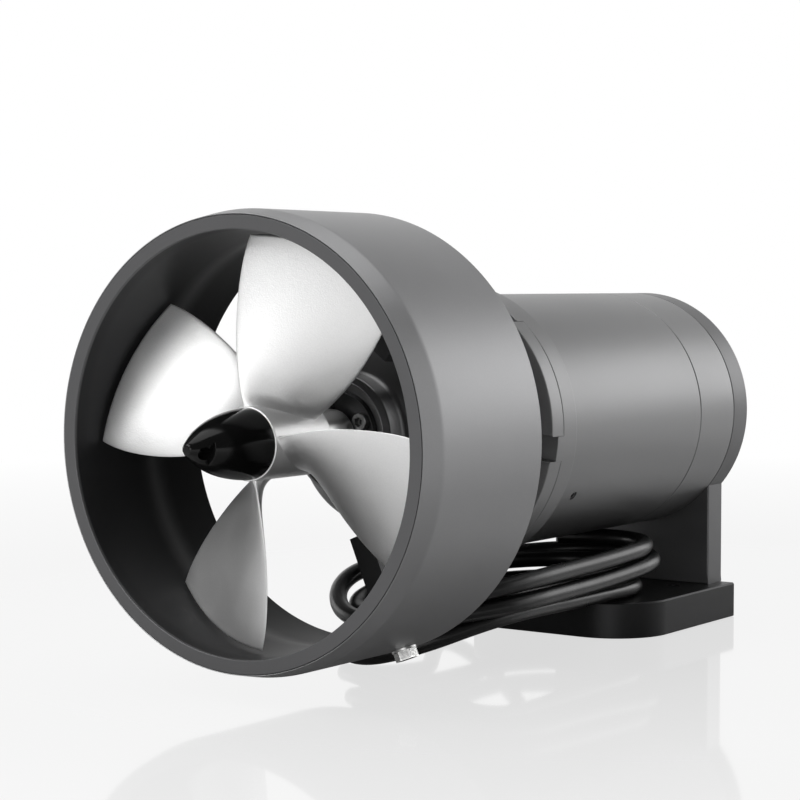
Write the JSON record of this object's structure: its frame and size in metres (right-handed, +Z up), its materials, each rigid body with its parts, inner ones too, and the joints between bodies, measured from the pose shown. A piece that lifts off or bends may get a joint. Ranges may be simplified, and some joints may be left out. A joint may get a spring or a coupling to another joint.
{
  "type": "underwater thruster",
  "caption": "Ducted electric underwater thruster with a four-blade propeller, a sealed motor housing, a foot bracket and a coiled lead.",
  "frame": {"origin": "On the underside of the foot, midway between its four mounting holes.", "axes": "X across, +Y along the propeller's axis to the rear (the mouth faces -Y), +Z up."},
  "size_m": [0.175, 0.3402, 0.186],
  "materials": {
    "anodised_duct": "satin",
    "anodised_black": "satin",
    "anodised_grey": "satin",
    "blasted_alloy": "matte",
    "gloss_black": "gloss",
    "stainless": "satin",
    "black_steel": "satin",
    "bearing_steel": "gloss",
    "seal_rubber": "matte",
    "core_steel": "matte",
    "magnet": "gloss",
    "copper": "satin",
    "nylon": "matte",
    "cable_jacket": "satin"
  },
  "bodies": {
    "thruster": {"duct_shell": "anodised_duct", "duct_liner": "anodised_duct", "duct_arm_1": "anodised_black", "duct_arm_2": "anodised_black", "duct_arm_3": "anodised_black", "arm_pad_screws": "stainless", "arm_root_screws": "stainless", "duct_bolt": "stainless", "duct_bolt_washer": "stainless", "seal_cover": "anodised_black", "seal_cover_screws": "black_steel", "front_bell": "anodised_black", "shaft_seals": "seal_rubber", "bearing_retainer": "stainless", "retainer_screws": "stainless", "bell_seal_ring": "seal_rubber", "bell_screws": "black_steel", "front_bearing_outer": "bearing_steel", "rear_bearing_outer": "bearing_steel", "stator_core": "core_steel", "stator_windings": "copper", "motor_housing": "anodised_grey", "stator_pin": "black_steel", "rear_end_shield": "anodised_grey", "preload_washer": "bearing_steel", "rear_cap": "anodised_grey", "cap_seal_ring": "seal_rubber", "gland_body": "nylon", "gland_seal": "seal_rubber", "gland_nut": "nylon", "bracket": "anodised_grey", "bracket_screws": "black_steel", "foot": "anodised_grey", "foot_screws": "black_steel", "cable": "cable_jacket", "cable_coil": "cable_jacket"},
    "propulsor": {"propeller": "blasted_alloy", "spinner": "gloss_black", "shaft": "stainless", "shaft_sleeve": "stainless", "drive_pin": "stainless", "rotor_core": "core_steel", "rotor_magnets": "magnet", "front_bearing_inner": "bearing_steel", "rear_bearing_inner": "bearing_steel"},
    "front_ball_ring": {"front_bearing_balls": "bearing_steel"},
    "rear_ball_ring": {"rear_bearing_balls": "bearing_steel"}
  },
  "joints": [
    {"name": "prop_spin", "type": "hinge", "parent": "thruster", "child": "propulsor", "pos_m": [0, -0.24255, 0.0985], "axis": [0, 1, 0], "continuous": true},
    {"name": "front_ball_spin", "type": "hinge", "parent": "thruster", "child": "front_ball_ring", "pos_m": [0, -0.17465, 0.0985], "axis": [0, 1, 0], "continuous": true},
    {"name": "rear_ball_spin", "type": "hinge", "parent": "thruster", "child": "rear_ball_ring", "pos_m": [0, -0.01065, 0.0985], "axis": [0, 1, 0], "continuous": true}
  ],
  "couplings": [
    {"joint": "front_ball_spin", "follows": "prop_spin", "ratio": 0.382},
    {"joint": "rear_ball_spin", "follows": "prop_spin", "ratio": 0.382}
  ]
}
